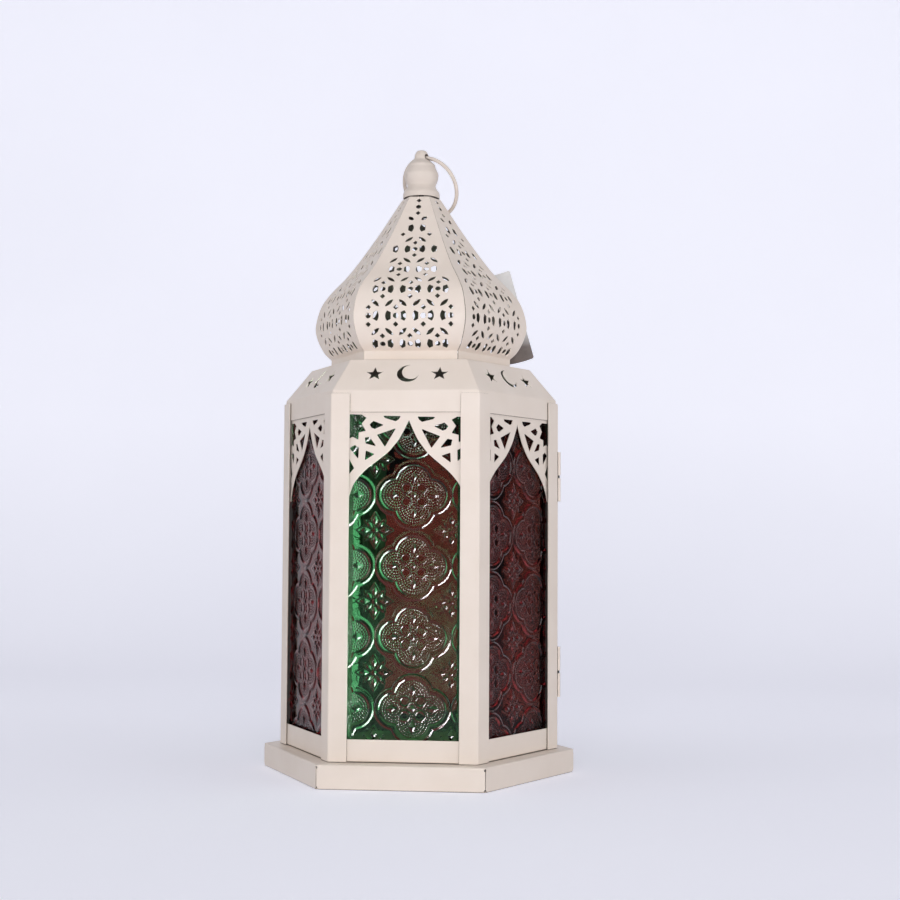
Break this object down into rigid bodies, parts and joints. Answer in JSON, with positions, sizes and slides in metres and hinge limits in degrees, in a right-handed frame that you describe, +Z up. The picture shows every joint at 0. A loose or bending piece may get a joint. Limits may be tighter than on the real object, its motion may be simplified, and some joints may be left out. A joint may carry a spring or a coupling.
{
  "type": "hexagonal candle lantern",
  "caption": "Hexagonal standing candle lantern with coloured rolled glass, pierced onion dome, hinged door and hanging ring.",
  "frame": {"origin": "centre of the base tray's underside", "axes": "+Z up, the front face looks along -Y, the door is on the back right face"},
  "size_m": [0.239, 0.207, 0.48],
  "materials": {
    "cream_paint": "satin cream paint over sheet steel",
    "bare_steel": "dull bare steel",
    "glass_green": "green rolled glass with embossed rosettes",
    "glass_red": "red rolled glass with embossed rosettes",
    "card": "blank coated card",
    "clear_thread": "clear nylon thread"
  },
  "bodies": {
    "root": {"base_tray": "cream_paint", "corner_post_front_right": "cream_paint", "corner_post_right": "cream_paint", "corner_post_back_right": "cream_paint", "corner_post_back_left": "cream_paint", "corner_post_left": "cream_paint", "corner_post_front_left": "cream_paint", "bottom_rail_front": "cream_paint", "bottom_rail_right": "cream_paint", "bottom_rail_back": "cream_paint", "bottom_rail_back_left": "cream_paint", "bottom_rail_left": "cream_paint", "shoulder_roof": "cream_paint", "dome_petal_front": "cream_paint", "dome_petal_right": "cream_paint", "dome_petal_back_right": "cream_paint", "dome_petal_back": "cream_paint", "dome_petal_back_left": "cream_paint", "dome_petal_left": "cream_paint", "arch_fretwork_front": "cream_paint", "arch_fretwork_right": "cream_paint", "arch_fretwork_back": "cream_paint", "arch_fretwork_back_left": "cream_paint", "arch_fretwork_left": "cream_paint", "glass_pane_front": "glass_green", "glass_pane_right": "glass_red", "glass_pane_back": "glass_red", "glass_pane_back_left": "glass_green", "glass_pane_left": "glass_red", "glass_retainer_front": "bare_steel", "glass_retainer_right": "bare_steel", "glass_retainer_back": "bare_steel", "glass_retainer_back_left": "bare_steel", "glass_retainer_left": "bare_steel", "dome_crown": "bare_steel", "finial": "cream_paint", "finial_stud": "bare_steel", "finial_nut": "bare_steel", "hinge_leaf_post_lower": "cream_paint", "hinge_pin_lower": "bare_steel", "hinge_leaf_post_upper": "cream_paint", "hinge_pin_upper": "bare_steel", "swing_tag": "card", "tag_thread": "clear_thread"},
    "door": {"door_frame": "cream_paint", "arch_fretwork_door": "cream_paint", "glass_pane_door": "glass_green", "glass_retainer_door": "bare_steel", "hinge_leaf_door_lower": "cream_paint", "hinge_leaf_door_upper": "cream_paint"},
    "latch": {"latch_grip": "cream_paint", "latch_tongue": "bare_steel"},
    "ring": {"hanging_ring": "cream_paint"}
  },
  "joints": [
    {"name": "door_hinge", "type": "hinge", "parent": "root", "child": "door", "pos_m": [0.10766, 0.00263, 0.15], "axis": [0, 0, -1], "range_deg": [0, 180]},
    {"name": "latch_turn", "type": "hinge", "parent": "door", "child": "latch", "pos_m": [0.05879, 0.08608, 0.15], "axis": [-0.866, -0.5, 0], "range_deg": [0, 90]},
    {"name": "ring_swing", "type": "hinge", "parent": "root", "child": "ring", "pos_m": [0, 0, 0.4738], "axis": [0.866, -0.5, 0], "range_deg": [0, 301]}
  ]
}
